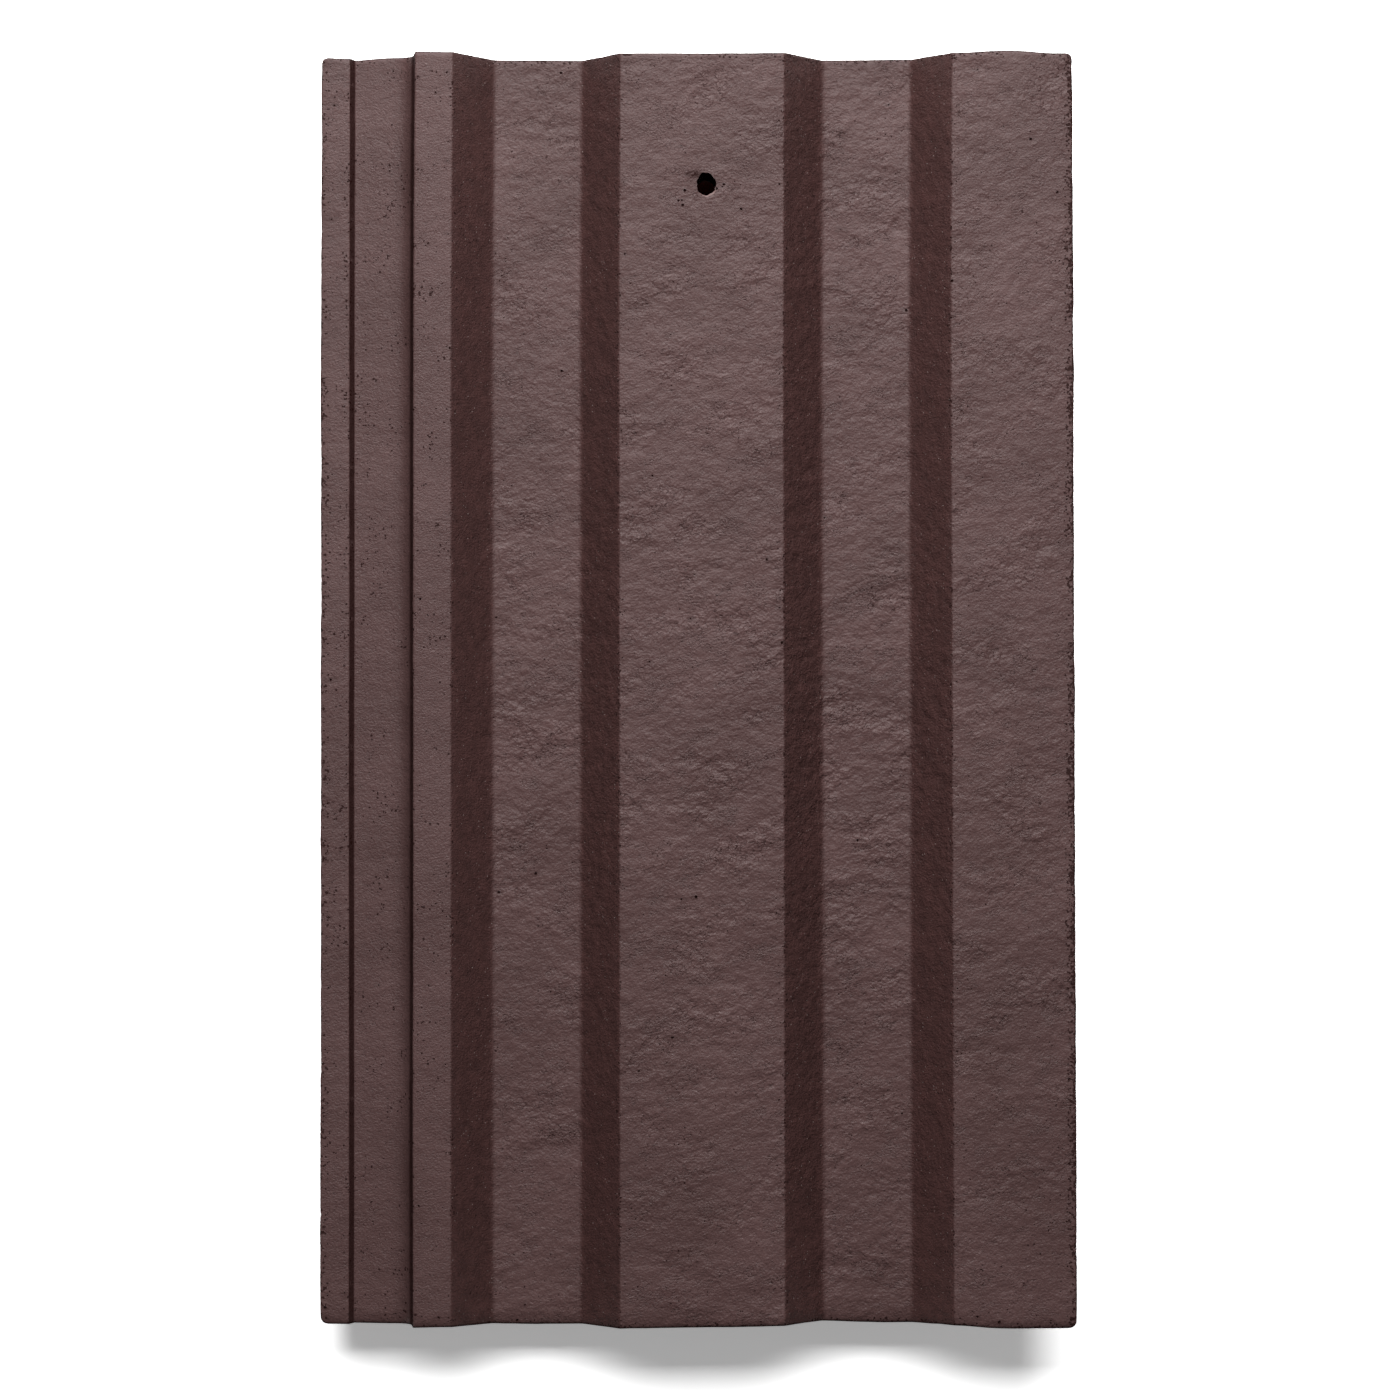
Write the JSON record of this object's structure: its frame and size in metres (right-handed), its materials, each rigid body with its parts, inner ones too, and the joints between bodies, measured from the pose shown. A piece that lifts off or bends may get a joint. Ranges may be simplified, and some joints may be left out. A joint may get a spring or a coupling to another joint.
{
  "type": "interlocking concrete roof tile",
  "caption": "Trough-profiled interlocking roof tile of coated concrete, with raised crowns, a nail hole, side laps, hanging nibs and weather bars.",
  "frame": {"origin": "centre of the bounding box, at the level of the noses of the hanging nibs", "axes": "+Y towards the head, where the nail hole is; +Z out of the weathered face; +X towards the overlap"},
  "size_m": [0.229, 0.387, 0.04],
  "materials": {
    "concrete": "dark reddish-brown coated concrete, semi-matt, finely rippled, with small pits"
  },
  "bodies": {
    "root": {"roof_tile": "concrete"}
  },
  "joints": []
}
